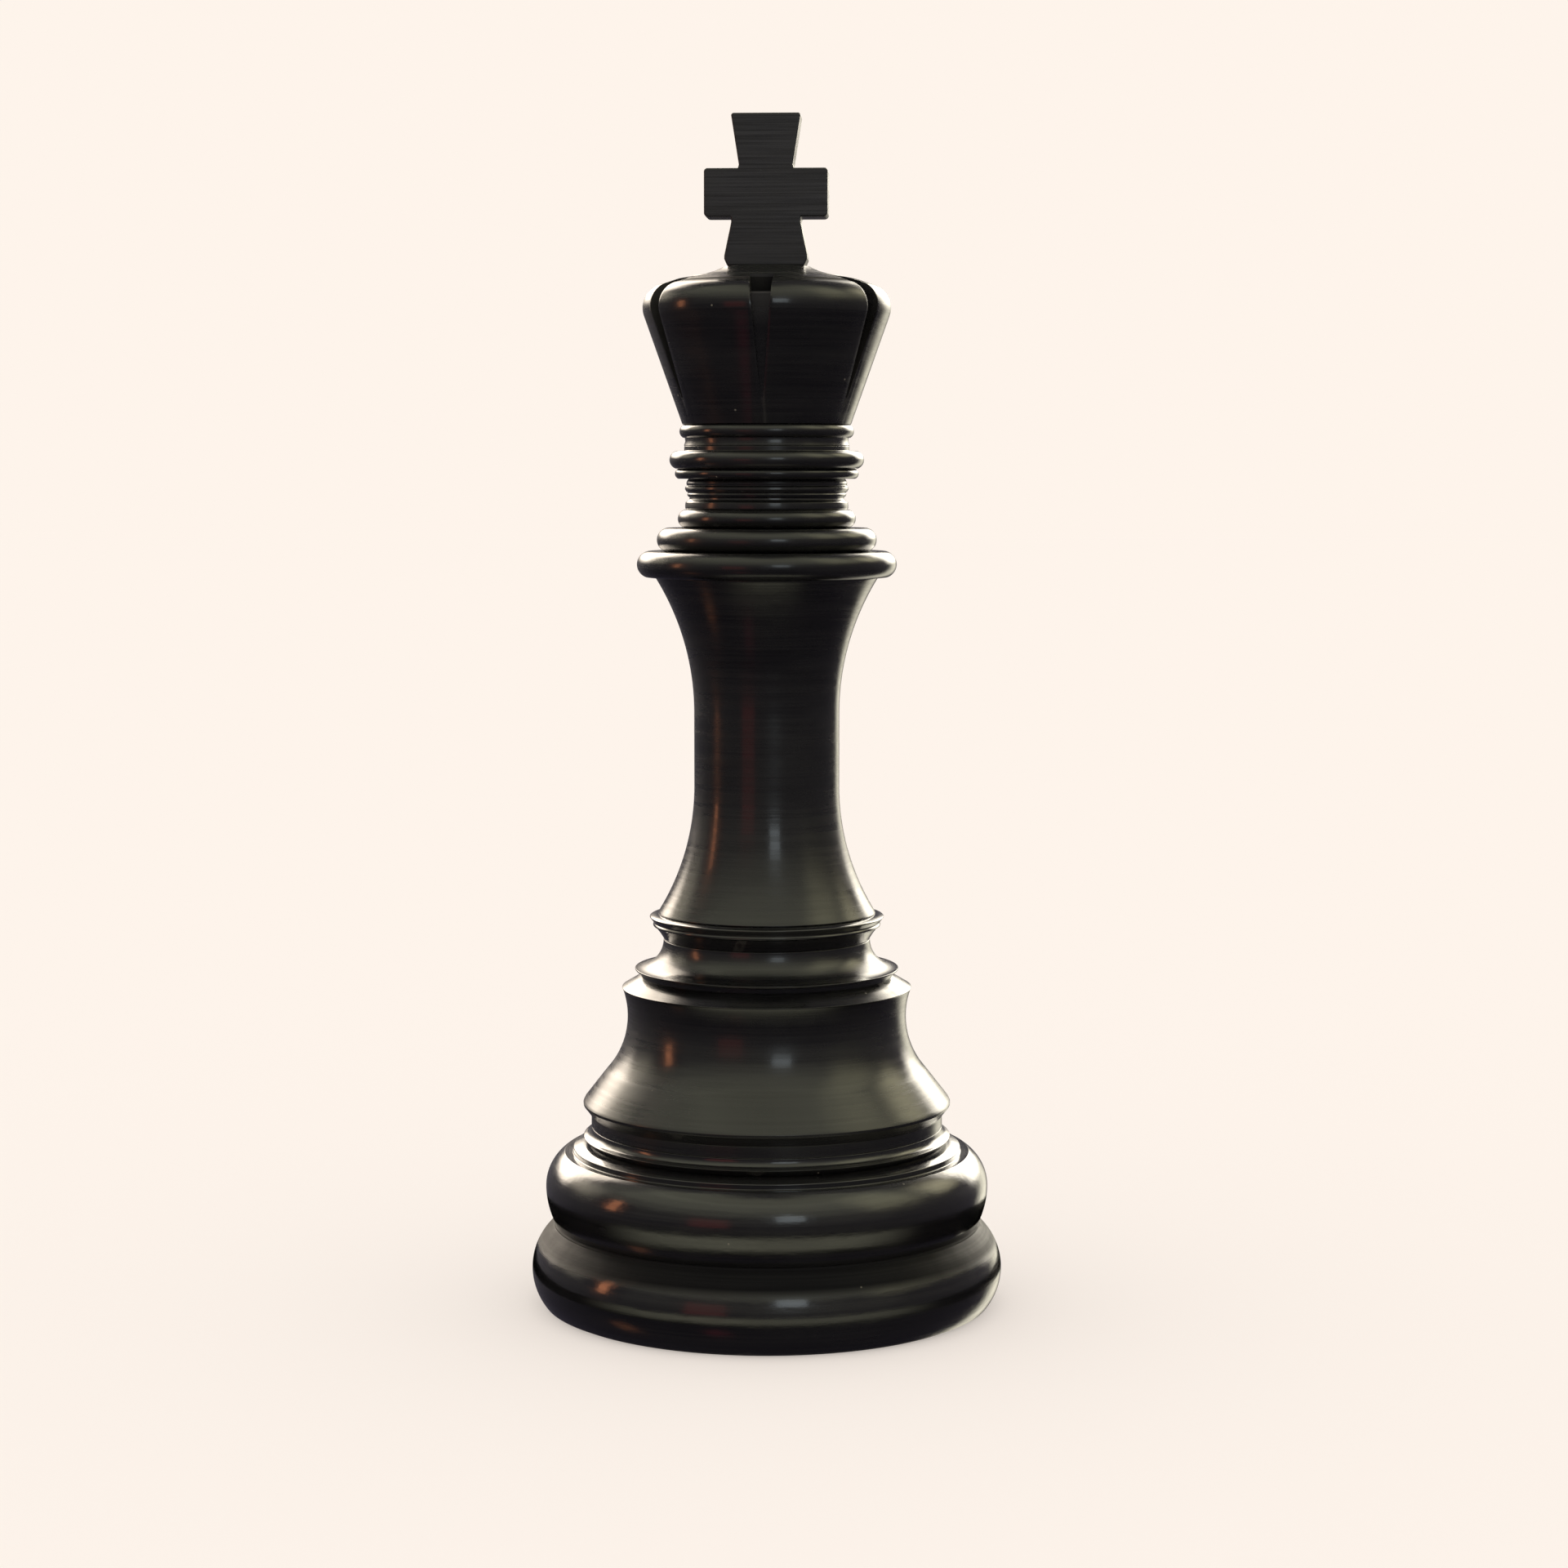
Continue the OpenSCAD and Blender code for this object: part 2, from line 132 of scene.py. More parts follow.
def grid_mesh(name, verts, rows, cols, normals):
    """A closed smooth mesh over a grid of rows x cols points that wraps both ways."""
    i = np.arange(rows)[:, None]
    j = np.arange(cols)[None, :]
    i2, j2 = (i + 1) % rows, (j + 1) % cols
    faces = np.stack([i * cols + j, i * cols + j2, i2 * cols + j2, i2 * cols + j], axis=-1).reshape(-1, 4)
    mesh = bpy.data.meshes.new(name)
    mesh.from_pydata(verts.tolist(), [], faces.tolist())
    mesh.shade_smooth()
    mesh.normals_split_custom_set_from_vertices(normals.tolist())
    return mesh


def lathe(name, outline):
    """Turns a closed outline of (radius, z) in mm about the z axis."""
    outline = counter_clockwise(outline)
    flat = outline_normals(outline)
    p = np.array(outline, float)
    angle = np.arange(SEGMENTS) * TAU / SEGMENTS
    c, s = np.cos(angle)[None, :], np.sin(angle)[None, :]

    def turned(pairs):
        """Each (radius, z) of `pairs` at every angle, as rows of x, y, z."""
        z = np.repeat(pairs[:, 1:], SEGMENTS, axis=1)
        return np.stack([pairs[:, :1] * c, pairs[:, :1] * s, z], axis=-1).reshape(-1, 3)

    return grid_mesh(name, turned(p) * MM, len(outline), SEGMENTS, turned(flat))


def plate(name, outline, thickness, edge):
    """A flat plate in the XZ plane, centred on y = 0, with its front and back edges rounded. All in mm."""
    outline = counter_clockwise(outline)
    flat = outline_normals(outline)
    p = np.array(outline, float)
    steps = 4
    rings, normals = [], []
    for side in (-1, 1):
        ring_steps = range(steps + 1) if side < 0 else range(steps, -1, -1)
        for k in ring_steps:
            a = math.pi / 2 * k / steps
            inset = edge * (1 - math.sin(a))
            y = side * (thickness / 2 - edge * (1 - math.cos(a)))
            q = p - flat * inset
            rings.append(np.stack([q[:, 0], np.full(len(q), y), q[:, 1]], axis=1))
            normals.append(np.stack([flat[:, 0] * math.sin(a), np.full(len(q), side * math.cos(a)),
                                     flat[:, 1] * math.sin(a)], axis=1))
    count, size = len(rings), len(outline)
    verts = np.concatenate(rings) * MM
    faces = []
    for i in range(count - 1):
        for j in range(size):
            here, there = i * size, (i + 1) * size
            after = (j + 1) % size
            faces.append([here + j, here + after, there + after, there + j])
    faces.append(list(range(size))[::-1])
    faces.append([(count - 1) * size + j for j in range(size)])
    mesh = bpy.data.meshes.new(name)
    mesh.from_pydata(verts.tolist(), [], [f[::-1] for f in faces])
    mesh.shade_smooth()
    mesh.normals_split_custom_set_from_vertices(np.concatenate(normals).tolist())
    return mesh


def solid(name, verts, faces):
    """A small mesh from points in mm, flat shaded."""
    mesh = bpy.data.meshes.new(name)
    mesh.from_pydata([[c * MM for c in v] for v in verts], [], faces)
    mesh.validate()
    return mesh


def block(name, x, y, z):
    """A box between the given (low, high) pairs, in mm, used only as a cutter."""
    verts = [(a, b, c) for c in z for b in y for a in x]
    faces = [(0, 2, 3, 1), (4, 5, 7, 6), (0, 1, 5, 4), (2, 6, 7, 3), (0, 4, 6, 2), (1, 3, 7, 5)]
    return solid(name, verts, faces)


def combine(mesh, tool, operation, bevel=0.0, limit=30.0):
    """The boolean of two meshes, with the new sharp edges bevelled by `bevel` mm, as a new mesh."""
    body, other = link("work", mesh), link("tool", tool)
    cut = body.modifiers.new("cut", "BOOLEAN")
    cut.operation, cut.solver, cut.object = operation, "EXACT", other
    if bevel > 0:
        round_off = body.modifiers.new("round", "BEVEL")
        round_off.width, round_off.segments = bevel * MM, 2
        round_off.limit_method, round_off.angle_limit = "ANGLE", math.radians(limit)
        round_off.harden_normals = True
    view = bpy.context.evaluated_depsgraph_get()
    made = bpy.data.meshes.new_from_object(body.evaluated_get(view), depsgraph=view)
    made.name = mesh.name + "_cut"
    for item in (body, other):
        bpy.data.objects.remove(item)
    return made


def even_normals(mesh, limit=40.0):
    """Corner normals weighted by area over the faces within `limit` degrees, so flats look flat."""
    around = [[] for _ in mesh.vertices]
    for face in mesh.polygons:
        for v in face.vertices:
            around[v].append(face)
    least = math.cos(math.radians(limit))
    normals = []
    for face in mesh.polygons:
        for v in face.vertices:
            total = Vector((0.0, 0.0, 0.0))
            for other in around[v]:
                if other.normal.dot(face.normal) > least:
                    total += other.normal * other.area
            normals.append(total.normalized() if total.length > 0 else face.normal)
    for face in mesh.polygons:
        face.use_smooth = True
    mesh.normals_split_custom_set(normals)
    return mesh


# ---------------------------------------------------------------- shader nodes


class Nodes:
    """Short calls that add shader nodes and join them up."""

    def __init__(self, tree):
        self.tree = tree
        tree.nodes.clear()

    def add(self, kind, **settings):
        node = self.tree.nodes.new(kind)
        for key, value in settings.items():
            setattr(node, key, value)
        return node

    def plug(self, socket, value):
        if isinstance(value, bpy.types.NodeSocket):
            self.tree.links.new(value, socket)
        elif value is not None:
            socket.default_value = value

    def math(self, operation, a, b=None, c=None):
        node = self.add("ShaderNodeMath", operation=operation)
        for socket, value in zip(node.inputs, (a, b, c)):
            self.plug(socket, value)
        return node.outputs[0]

    def vector(self, x, y, z):
        node = self.add("ShaderNodeCombineXYZ")
        for socket, value in zip(node.inputs, (x, y, z)):
            self.plug(socket, value)
        return node.outputs[0]

    def noise(self, vector, scale, detail=2.0, rough=0.5, w=None):
        node = self.add("ShaderNodeTexNoise", noise_dimensions="3D" if w is None else "4D")
        self.plug(node.inputs["Vector"], vector)
        if w is not None:
            self.plug(node.inputs["W"], w)
        node.inputs["Scale"].default_value = scale
        node.inputs["Detail"].default_value = detail
        node.inputs["Roughness"].default_value = rough
        return node.outputs["Fac"]

    def remap(self, value, from_low, from_high, to_low, to_high):
        """A smooth step from one value to another, level outside the two ends."""
        node = self.add("ShaderNodeMapRange", interpolation_type="SMOOTHSTEP")
        for socket, item in zip(node.inputs, (value, from_low, from_high, to_low, to_high)):
            self.plug(socket, item)
        return node.outputs[0]

    def mix(self, share, a, b):
        node = self.add("ShaderNodeMix", data_type="RGBA")
        self.plug(node.inputs[0], share)
        self.plug(node.inputs[6], a)
        self.plug(node.inputs[7], b)
        return node.outputs[2]

    def stretched(self, vector, across, along):
        """Coordinates multiplied by `across` in x and y and by `along` in z."""
        x, y, z = self.axes(vector)
        return self.vector(self.math("MULTIPLY", x, across), self.math("MULTIPLY", y, across),
                           self.math("MULTIPLY", z, along))

    def axes(self, vector):
        """The x, y and z of a vector."""
        node = self.add("ShaderNodeSeparateXYZ")
        self.plug(node.inputs[0], vector)
        return node.outputs

    def bump(self, height, depth, normal=None):
        """A bump of `depth` mm, laid over another normal if one is given."""
        node = self.add("ShaderNodeBump")
        node.inputs["Strength"].default_value = 1.0
        node.inputs["Distance"].default_value = depth * MM
        self.plug(node.inputs["Height"], height)
        self.plug(node.inputs["Normal"], normal)
        return node.outputs[0]

    def specks(self, coordinates, scale, size, kept=0.28):
        """1 inside small scattered specks, 0 elsewhere. `kept` is the share of the cells that hold one."""
        node = self.add("ShaderNodeTexVoronoi")
        self.plug(node.inputs["Vector"], coordinates)
        node.inputs["Scale"].default_value = scale
        inside = self.math("LESS_THAN", node.outputs["Distance"], size)
        red = self.add("ShaderNodeSeparateColor")
        self.plug(red.inputs[0], node.outputs["Color"])
        chosen = self.math("GREATER_THAN", red.outputs[0], 1.0 - kept)
        return self.math("MULTIPLY", inside, chosen)


def material(name):
    """A new material with one Principled shader: (material, its Nodes, shader, object coordinates)."""
    made = bpy.data.materials.new(name)
    made.use_nodes = True
    nodes = Nodes(made.node_tree)
    shader = nodes.add("ShaderNodeBsdfPrincipled")
    out = nodes.add("ShaderNodeOutputMaterial")
    nodes.plug(out.inputs["Surface"], shader.outputs[0])
    place = nodes.add("ShaderNodeTexCoord").outputs["Object"]
    return made, nodes, shader, place


def rgba(r, g, b):
    return (r, g, b, 1.0)


def edge_mask(nodes):
    """1 on convex edges, 0 on flats."""
    starts, full = 0.52, 0.60
    return nodes.remap(nodes.add("ShaderNodeNewGeometry").outputs["Pointiness"], starts, full, 0.0, 1.0)


def turned_black(name, satin, lines, coat, wobble, seed, places=None):
    """Black lacquer over a turned surface: rings that follow radius and height, smears, specks, worn edges.

    satin is the mean roughness, lines the depth of the turning lines in mm, coat the weight of the clear
    coat, wobble the depth of the lacquer's unevenness in mm, and seed shifts the noise. `places` gives two
    masks: matt lacquer with its reflection darkened as painted shade, and a paler tone as painted light.
    """
    made, nodes, shader, place = material(name)
    x, y, z = nodes.axes(place)
    squares = nodes.math("ADD", nodes.math("MULTIPLY", x, x), nodes.math("MULTIPLY", y, y))
    radius = nodes.math("SQRT", squares)
    safe = nodes.math("MAXIMUM", radius, 1e-5)
    cos, sin = nodes.math("DIVIDE", x, safe), nodes.math("DIVIDE", y, safe)

    def rings(pitch, around, detail):
        """Noise drawn out into rings: its features are `pitch` mm across and long around the axis."""
        per = 1.0 / (pitch * MM)
        vector = nodes.vector(nodes.math("MULTIPLY", radius, per), nodes.math("MULTIPLY", z, per),
                              nodes.math("MULTIPLY", cos, around))
        return nodes.noise(vector, 1.0, detail, 0.55, nodes.math("MULTIPLY_ADD", sin, around, seed))

    fine = rings(pitch=0.55, around=0.7, detail=2.0)
    bands = rings(pitch=1.7, around=0.4, detail=1.0)
    wide = rings(pitch=7.0, around=1.1, detail=2.0)
    smear = nodes.noise(place, 38.0, 3.0, 0.6)
    edges = edge_mask(nodes)
    specks = nodes.specks(place, 150.0, 0.05)

    deep, usual = rgba(0.0020, 0.0019, 0.0022), rgba(0.0044, 0.0042, 0.0043)
    line, worn = rgba(0.0080, 0.0075, 0.0070), rgba(0.020, 0.0185, 0.015)
    dust, lit_tone = rgba(0.16, 0.14, 0.10), rgba(0.055, 0.053, 0.046)
    tone = nodes.mix(nodes.remap(wide, *SPREAD, 0.0, 1.0), deep, usual)
    tone = nodes.mix(nodes.remap(fine, 0.35, 0.75, 0.0, 0.55), tone, line)
    tone = nodes.mix(nodes.math("MULTIPLY", edges, 0.45), tone, worn)
    tone = nodes.mix(nodes.math("MULTIPLY", specks, 0.5), tone, dust)
    if places:
        matt_and_shade, painted_light = places(nodes, radius, z)
        # painted light: a paler tone where light would catch, such as the lip and upper floor of each crown
        # notch
        tone = nodes.mix(painted_light, tone, lit_tone)
    nodes.plug(shader.inputs["Base Color"], tone)

    rough = nodes.remap(smear, *SPREAD, satin - 0.05, satin + 0.06)
    rough = nodes.math("ADD", rough, nodes.remap(bands, 0.35, 0.65, -0.03, 0.05))
    rough = nodes.math("ADD", rough, nodes.math("MULTIPLY", edges, 0.10))
    rough = nodes.math("ADD", rough, nodes.math("MULTIPLY", specks, 0.3))
    shine = coat
    if places:
        rough = nodes.math("ADD", rough, nodes.math("MULTIPLY", matt_and_shade, 0.45))
        shine = nodes.math("MULTIPLY_ADD", matt_and_shade, -coat, coat)
        # painted shade: the reflection is darkened by this tint in the notch pockets and under the torus
        # overhang
        tint = nodes.mix(matt_and_shade, rgba(1.0, 1.0, 1.0), rgba(0.16, 0.16, 0.17))
        nodes.plug(shader.inputs["Specular Tint"], tint)
    nodes.plug(shader.inputs["Roughness"], rough)
    nodes.plug(shader.inputs["Coat Weight"], shine)

    turning = nodes.math("MULTIPLY_ADD", fine, 0.55, bands)
    turning = nodes.math("MULTIPLY_ADD", smear, 1.2, turning)
    strokes = rings(pitch=2.4, around=9.0, detail=3.0)
    grain = nodes.noise(place, 950.0, 2.0, 0.6)
    ripple = nodes.math("MULTIPLY_ADD", strokes, 1.1, nodes.noise(place, 110.0, 2.0, 0.5))
    uneven = nodes.math("MULTIPLY_ADD", grain, 0.10, ripple)
    nodes.plug(shader.inputs["Normal"], nodes.bump(uneven, wobble, nodes.bump(turning, lines)))

    tangent = nodes.add("ShaderNodeTangent", direction_type="RADIAL", axis="Z")
    nodes.plug(shader.inputs["Tangent"], tangent.outputs[0])
    shader.inputs["Anisotropic"].default_value = 0.55
    shader.inputs["Anisotropic Rotation"].default_value = 0.25
    shader.inputs["Specular IOR Level"].default_value = 0.5
    shader.inputs["Coat Roughness"].default_value = 0.09
    return made


def plinth_places(nodes, radius, z):
    """Matt at the top of the plinth, its reflection darkened there as painted shade under the overhang of the
    torus.
    """
    starts, full = 18.5 * MM, 21.5 * MM
    return nodes.remap(z, starts, full, 0.0, 1.0), 0.0


def crown_places(nodes, radius, z):
    """Matt in the deep pockets of the notches, their reflection darkened as painted shade; a painted
    highlight at the lip, and painted light on each sloping floor, palest at the top and fading lower down.
    """
    top = level("crown_cap")[1]
    lip, rim = (top - LIP_DROP) * MM, (top - 4.6) * MM
    # the pocket mask makes the lacquer matt and darkens its reflection as painted shade
    above = nodes.remap(z, lip, lip + 0.1 * MM, 0.0, 1.0)
    below = nodes.remap(z, rim, rim + 0.2 * MM, 1.0, 0.0)
    in_pocket = nodes.remap(radius, 32.5 * MM, 33.5 * MM, 1.0, 0.0)
    pocket = nodes.math("MULTIPLY", in_pocket, nodes.math("MULTIPLY", above, below))
    # painted highlight at the brink of each lip, and painted light on the floor below it that fades into
    # painted shade further down
    in_notch = nodes.remap(radius, 34.6 * MM, 35.2 * MM, 1.0, 0.0)
    under_lip = nodes.remap(z, lip + 0.1 * MM, lip + 0.3 * MM, 1.0, 0.0)
    slope = nodes.remap(z, lip - 13.0 * MM, lip, 0.0, 0.42)
    brink = nodes.remap(z, lip - 0.7 * MM, lip - 0.3 * MM, 0.0, 0.55)
    floor = nodes.math("MULTIPLY", in_notch, under_lip)
    return pocket, nodes.math("MULTIPLY", floor, nodes.math("ADD", slope, brink))


def satin_black(name):
    """The flat cross: satin black with level tool lines."""
    made, nodes, shader, place = material(name)
    level_lines = nodes.noise(nodes.stretched(place, 28.0, 1700.0), 1.0, 2.0, 0.6)
    steps = nodes.noise(nodes.stretched(place, 12.0, 420.0), 1.0, 1.0, 0.5)
    smear = nodes.noise(place, 55.0, 3.0, 0.6)
    edges = edge_mask(nodes)
    specks = nodes.specks(place, 170.0, 0.05)
    dark, light = rgba(0.0030, 0.0030, 0.0034), rgba(0.0170, 0.0168, 0.0178)
    cloud, worn, dust = rgba(0.011, 0.0108, 0.0106), rgba(0.035, 0.034, 0.032), rgba(0.12, 0.11, 0.09)
    tone = nodes.mix(nodes.remap(level_lines, *SPREAD, 0.0, 1.0), dark, light)
    tone = nodes.mix(nodes.remap(smear, 0.35, 0.7, 0.0, 0.5), tone, cloud)
    tone = nodes.mix(nodes.math("MULTIPLY", edges, 0.4), tone, worn)
    tone = nodes.mix(nodes.math("MULTIPLY", specks, 0.4), tone, dust)
    nodes.plug(shader.inputs["Base Color"], tone)
    rough = nodes.remap(smear, *SPREAD, 0.34, 0.48)
    rough = nodes.math("ADD", rough, nodes.remap(steps, 0.35, 0.65, -0.04, 0.05))
    nodes.plug(shader.inputs["Roughness"], rough)
    height = nodes.math("MULTIPLY_ADD", steps, 1.2, level_lines)
    nodes.plug(shader.inputs["Normal"], nodes.bump(height, 0.03))
    shader.inputs["Coat Weight"].default_value = 0.15
    shader.inputs["Coat Roughness"].default_value = 0.25
    return made


def moulded(name, dark, light, rough, grain, depth, metal=0.0, dirt=(0.09, 0.08, 0.06)):
    """Plastic, rubber or cast metal: an even grain, `depth` mm deep, with patches, rubbed edges and dust."""
    made, nodes, shader, place = material(name)
    patches = nodes.noise(place, 60.0, 4.0, 0.6)
    texture = nodes.noise(place, grain, 3.0, 0.65)
    pits = nodes.noise(place, grain * 0.23, 2.0, 0.5)
    edges = edge_mask(nodes)
    tone = nodes.mix(nodes.remap(patches, *SPREAD, 0.0, 1.0), rgba(*dark), rgba(*light))
    tone = nodes.mix(nodes.math("MULTIPLY", edges, 0.35), tone, rgba(*[min(1.0, c * 2.4) for c in light]))
    tone = nodes.mix(nodes.remap(pits, 0.58, 0.75, 0.0, 0.35), tone, rgba(*dirt))
    nodes.plug(shader.inputs["Base Color"], tone)
    nodes.plug(shader.inputs["Roughness"], nodes.remap(texture, *SPREAD, *rough))
    nodes.plug(shader.inputs["Normal"], nodes.bump(nodes.math("MULTIPLY_ADD", pits, 1.6, texture), depth))
    shader.inputs["Metallic"].default_value = metal
    return made


def bright_metal(name, dark, light, rough, streak, tint=(0.62, 0.58, 0.46)):
    """Drawn or plated metal: a noise stretched by `streak`, a cloudy tint and dull handling marks."""
    made, nodes, shader, place = material(name)
    drawn = nodes.noise(nodes.stretched(place, *streak), 1.0, 3.0, 0.6)
    clouds = nodes.noise(place, 90.0, 3.0, 0.6)
    spots = nodes.specks(place, 420.0, 0.22)
    edges = edge_mask(nodes)
    tone = nodes.mix(nodes.remap(drawn, *SPREAD, 0.0, 1.0), rgba(*dark), rgba(*light))
    tone = nodes.mix(nodes.remap(clouds, 0.45, 0.75, 0.0, 0.4), tone, rgba(*tint))
    tone = nodes.mix(nodes.math("MULTIPLY", spots, 0.5), tone, rgba(*[c * 0.5 for c in dark]))
    tone = nodes.mix(nodes.math("MULTIPLY", edges, 0.4), tone, rgba(*[min(1.0, c * 1.2) for c in light]))
    nodes.plug(shader.inputs["Base Color"], tone)
    cloudy = nodes.remap(clouds, *SPREAD, rough - 0.06, rough + 0.10)
    nodes.plug(shader.inputs["Roughness"], nodes.math("MULTIPLY_ADD", spots, 0.25, cloudy))
    nodes.plug(shader.inputs["Normal"], nodes.bump(drawn, 0.006))
    shader.inputs["Metallic"].default_value = 1.0
    shader.inputs["Anisotropic"].default_value = 0.3
    return made


# ---------------------------------------------------------------- materials

LIP_DROP = 9.4  # mm from the foot of the cross down to the lip of a notch

GLOSS = turned_black("black_gloss", satin=0.17, lines=0.012, coat=0.45, wobble=0.10, seed=3.0)
LATHED = turned_black("black_turned", satin=0.25, lines=0.034, coat=0.22, wobble=0.03, seed=7.0)
BASE = turned_black("black_base", satin=0.17, lines=0.012, coat=0.45, wobble=0.10, seed=11.0,
                    places=plinth_places)
NECK = turned_black("black_neck", satin=0.24, lines=0.014, coat=0.22, wobble=0.05, seed=5.0)
CROWN = turned_black("black_crown", satin=0.26, lines=0.034, coat=0.20, wobble=0.03, seed=9.0,
                     places=crown_places)
CROSS = satin_black("black_satin")
RUBBER = moulded("black_rubber", (0.010, 0.010, 0.010), (0.020, 0.020, 0.019),
                 rough=(0.62, 0.85), grain=900.0, depth=0.05)
PLASTIC = moulded("black_textured_plastic", (0.012, 0.012, 0.013), (0.022, 0.022, 0.023),
                  rough=(0.38, 0.58), grain=1500.0, depth=0.035)
PLUG = moulded("black_plug_plastic", (0.016, 0.016, 0.017), (0.028, 0.028, 0.029),
               rough=(0.32, 0.50), grain=1800.0, depth=0.02)
IRON = moulded("grey_cast_iron", (0.045, 0.043, 0.042), (0.10, 0.095, 0.09),
               rough=(0.45, 0.75), grain=420.0, depth=0.22, metal=0.85, dirt=(0.11, 0.05, 0.025))
STAINLESS = bright_metal("stainless", (0.46, 0.45, 0.44), (0.66, 0.65, 0.63),
                         rough=0.26, streak=(1400.0, 1400.0), tint=(0.5, 0.49, 0.46))
ZINC = bright_metal("zinc_plate", (0.44, 0.45, 0.47), (0.62, 0.63, 0.65),
                    rough=0.30, streak=(900.0, 2600.0))
SPRING = bright_metal("spring_steel", (0.30, 0.31, 0.33), (0.46, 0.47, 0.49),
                      rough=0.34, streak=(900.0, 1800.0), tint=(0.34, 0.33, 0.38))
TUBE = bright_metal("drawn_aluminium", (0.60, 0.61, 0.63), (0.76, 0.77, 0.78),
                    rough=0.28, streak=(2400.0, 40.0), tint=(0.68, 0.69, 0.70))

# CAD nodes that are shown as they are, with their finish
carried = {
    "foot_pad": RUBBER, "base_cover": PLASTIC, "cover_gasket": RUBBER, "cover_screws": STAINLESS,
    "base_plug": PLUG, "plug_seal": RUBBER, "ballast_ring": IRON, "waist_sleeve": TUBE, "neck_sleeve": TUBE,
    "tie_rod": ZINC, "bottom_washer": ZINC, "spring_washer": SPRING, "bottom_nut": ZINC, "top_washer": ZINC,
    "top_nut": ZINC,
}


def finish_piece(mesh, node, finish, body="king"):
    """Puts a mesh in the scene in place of one CAD node."""
    piece = link("visual_" + node, mesh)
    mesh.materials.clear()
    mesh.materials.append(finish)
    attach(piece, body)
    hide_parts(node)
    return piece


# ---------------------------------------------------------------- levels and shared radii

z_plinth = level("base_plinth")
RIM_DEPTH = 2.8  # mm that the torus's locating rim reaches down into the plinth
z_torus = level("base_torus")[0] + RIM_DEPTH
z_step = level("step_disc")
z_bell = level("bell_body")
z_shoulder = level("shoulder_disc")
z_waist = level("waist_collar")
z_stem = level("stem")
z_large = level("collar_large")
z_medium = level("collar_medium")
z_small = level("collar_small")
z_neck = level("neck_spool")
z_thin = level("neck_ring_thin")
z_wide = level("neck_ring_wide")
z_bead = level("crown_bead")
z_crown = level("crown")
z_cap = level("crown_cap")
z_cross = z_cap[1]
WAIST_BORE, NECK_BORE, ROD_BORE = 24.1, 21.1, 4.2
SLIP = 0.1  # mm between a register and its bore
CAVITY, REGISTER = 62.0, 50.0  # ballast space, and the step that centres the bell
R_PLINTH, R_TORUS, R_KNIFE = 76.2, 71.6, 59.4  # R_KNIFE: the step disc's edge and the bell's rim
DISC_SEAT, SHOULDER_SEAT = 56.8, 40.5  # where the bell meets the discs below and above it

# ---------------------------------------------------------------- base and bell


def base_plinth():
    low, top = z_plinth
    middle, rad = 12.0, 17.6
    pad_in, pad_out, pad_top = 61.8, 70.2, 2.2
    recess, web_low, web_top = 60.3, 8.0, 15.5
    down = math.degrees(math.asin((low - middle) / rad))
    up = math.degrees(math.asin((top - 0.8 - middle) / rad))
    profile = [(REGISTER, web_low), (recess, web_low), (recess, low), (pad_in, low), (pad_in, pad_top),
               (pad_out, pad_top), (pad_out, low)]
    profile += arc(R_PLINTH - rad, middle, rad, down, up, 40)
    profile += [(69, top - 0.4), (68.6, top), (65.1, top), (65.1, top - 3), (CAVITY, top - 3),
                (CAVITY, web_top), (REGISTER, web_top)]
    return lathe("base_plinth", rounded(profile))


def base_torus():
    low, top = z_torus, z_step[0]
    lower, upper, belt = 25.0, 13.0, 11.8  # radii of the two rounds, and the height where they meet
    rim_in, rim_out = CAVITY, 65.0
    boss, boss_z, roof_z = 15.0, low + 18, low + 22
    ring, ring_z = 62.7, top - 3.2
    spigot_in, spigot_h = 46.0, 7.0
    start = math.degrees(math.asin(-belt / lower))
    end = math.degrees(math.asin((ring_z - low - belt) / upper))
    profile = [(boss, boss_z), (boss, roof_z), (58, roof_z, 1.5), (rim_in, boss_z, 1.5),
               (rim_in, low - RIM_DEPTH), (rim_out, low - RIM_DEPTH), (rim_out, low),
               (R_TORUS - lower + lower * math.cos(math.radians(start)), low)]
    profile += arc(R_TORUS - lower, low + belt, lower, start, 0, 14)
    profile += arc(R_TORUS - upper, low + belt, upper, 0, end, 22)[1:]
    profile += [(ring, ring_z), (ring, top - 1.5, 0.4), (60.2, top - 0.6), (58.4, top),
                (REGISTER, top, 0.1), (REGISTER, top + spigot_h), (spigot_in, top + spigot_h),
                (spigot_in, top, 0.5), (ROD_BORE, top), (ROD_BORE, boss_z)]
    return lathe("base_torus", rounded(profile))


def step_disc():
    low, top = z_step
    bore = REGISTER + SLIP
    profile = [(bore, low), (57.6, low), (R_KNIFE - 0.3, low + 1.7), (R_KNIFE, low + 2, 0.12)]
    profile += arc(R_KNIFE, low + 4.8, 2.6, 270, 180, 10)[1:]
    profile += [(DISC_SEAT, top), (bore, top)]
    return lathe("step_disc", rounded(profile, 0.2))


def bell_body():
    low, top = z_bell
    waist, sweep, brim = 45.0, 27.0, 46.8
    bore, roof_z, wall = REGISTER + SLIP, top - 8, 39.0
    profile = [(bore, low + 2.2), (bore, low), (DISC_SEAT, low), (DISC_SEAT, low + 3.8, 0.4),
               (R_KNIFE - 0.8, low + 6.2), (R_KNIFE - 0.1, low + 7), (R_KNIFE, low + 7.8, 0.25),
               (R_KNIFE - 0.5, low + 8.8)]
    profile += arc(waist + sweep, low + 35.8, sweep, 222, 160.5, 44)
    profile += [(brim, top - 3.7, 0.35), (SHOULDER_SEAT, top), (WAIST_BORE, top), (WAIST_BORE, roof_z),
                (wall - 2, roof_z), (wall, roof_z - 2), (wall, low + 34), (41, low + 25), (46, low + 17),
                (bore, low + 6)]
    return lathe("bell_body", rounded(profile))


